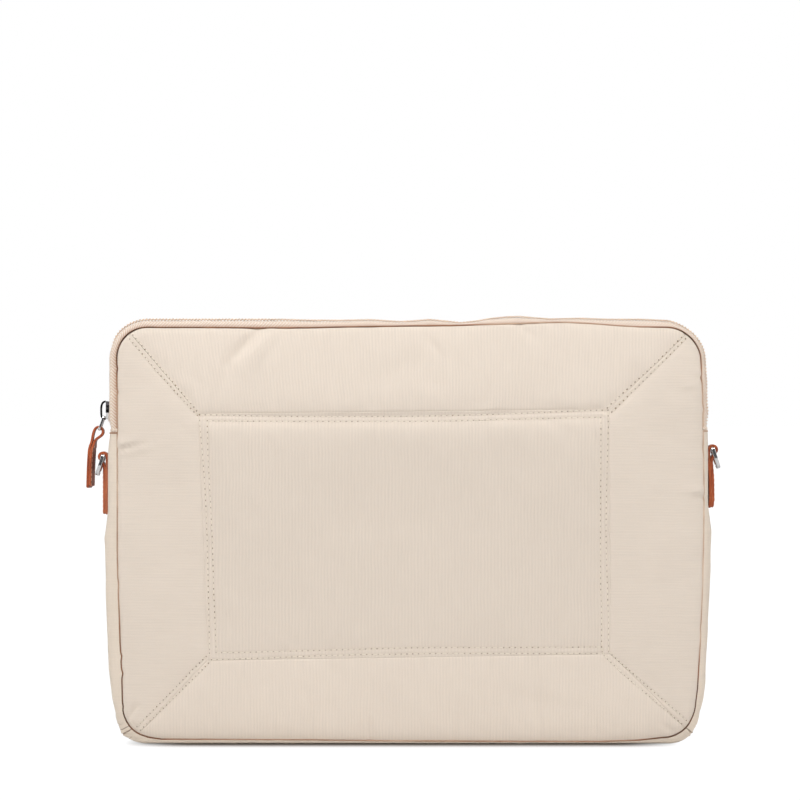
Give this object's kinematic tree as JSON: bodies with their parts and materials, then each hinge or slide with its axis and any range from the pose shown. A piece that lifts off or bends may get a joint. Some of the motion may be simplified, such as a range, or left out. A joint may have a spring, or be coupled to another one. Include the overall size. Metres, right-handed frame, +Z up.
{
  "type": "laptop sleeve",
  "caption": "Padded zip laptop sleeve with a pieced, quilted front, a zip round the upper edge and a leather tab with a metal D-ring on each side.",
  "frame": {"origin": "centre of the bottom edge, halfway through the depth", "axes": "+X to the right seen from the front, the quilted front faces -Y, +Z up towards the zip"},
  "size_m": [0.3835, 0.03, 0.2564],
  "materials": {
    "outer_cloth": "matte beige ribbed canvas",
    "padding": "closed-cell foam padding, pale grey",
    "lining_cloth": "smooth plain-weave lining",
    "binding_tape": "plain woven tape",
    "zip_tape": "herringbone woven tape, peach beige",
    "zip_coil": "moulded nylon coil",
    "bright_metal": "polished nickel plate",
    "leather": "tan leather with painted edges"
  },
  "bodies": {
    "case": {"front_centre_panel": "outer_cloth", "front_bottom_panel": "outer_cloth", "front_left_panel": "outer_cloth", "front_right_panel": "outer_cloth", "front_foam": "padding", "front_lining": "lining_cloth", "back_panel": "outer_cloth", "back_foam": "padding", "back_lining": "lining_cloth", "lower_gusset": "outer_cloth", "gusset_foam": "padding", "gusset_lining": "lining_cloth", "seam_binding_back": "binding_tape", "seam_binding_front": "binding_tape", "zip_tape_front_ends": "zip_tape", "zip_tape_back": "zip_tape", "zip_coil_front_ends": "zip_coil", "zip_coil_back": "zip_coil", "zip_end_covers": "outer_cloth", "left_ring_tab": "leather", "right_ring_tab": "leather"},
    "mouth": {"front_top_panel": "outer_cloth", "front_left_corner": "outer_cloth", "front_right_corner": "outer_cloth", "front_foam_flap": "padding", "front_lining_flap": "lining_cloth", "seam_binding_flap": "binding_tape", "zip_tape_front": "zip_tape", "zip_coil_front": "zip_coil"},
    "slider": {"slider_body": "bright_metal", "slider_crown": "bright_metal"},
    "link": {"pull_link": "bright_metal"},
    "pull": {"zip_pull_leather": "leather"},
    "left_ring": {"left_d_ring": "bright_metal"},
    "right_ring": {"right_d_ring": "bright_metal"}
  },
  "joints": [
    {"name": "mouth_open", "type": "hinge", "parent": "case", "child": "mouth", "pos_m": [0, -0.015, 0.1995], "axis": [1, 0, 0], "range_deg": [0, 35], "deforming": ["zip_coil_front"]},
    {"name": "slider_run", "type": "slide", "parent": "case", "child": "slider", "axis": [0, 0, 1], "range_m": [0, 0.026]},
    {"name": "link_swing", "type": "hinge", "parent": "slider", "child": "link", "pos_m": [-0.18385, 0, 0.197], "axis": [0, 1, 0], "range_deg": [0, 120]},
    {"name": "pull_swing", "type": "hinge", "parent": "link", "child": "pull", "pos_m": [-0.18659, 0, 0.18948], "axis": [0, 1, 0], "range_deg": [0, 60]},
    {"name": "left_ring_swing", "type": "hinge", "parent": "case", "child": "left_ring", "pos_m": [-0.18431, 0, 0.173], "axis": [0, 1, 0], "range_deg": [-8, 3]},
    {"name": "right_ring_swing", "type": "hinge", "parent": "case", "child": "right_ring", "pos_m": [0.18431, 0, 0.1773], "axis": [0, -1, 0], "range_deg": [-8, 145]}
  ]
}
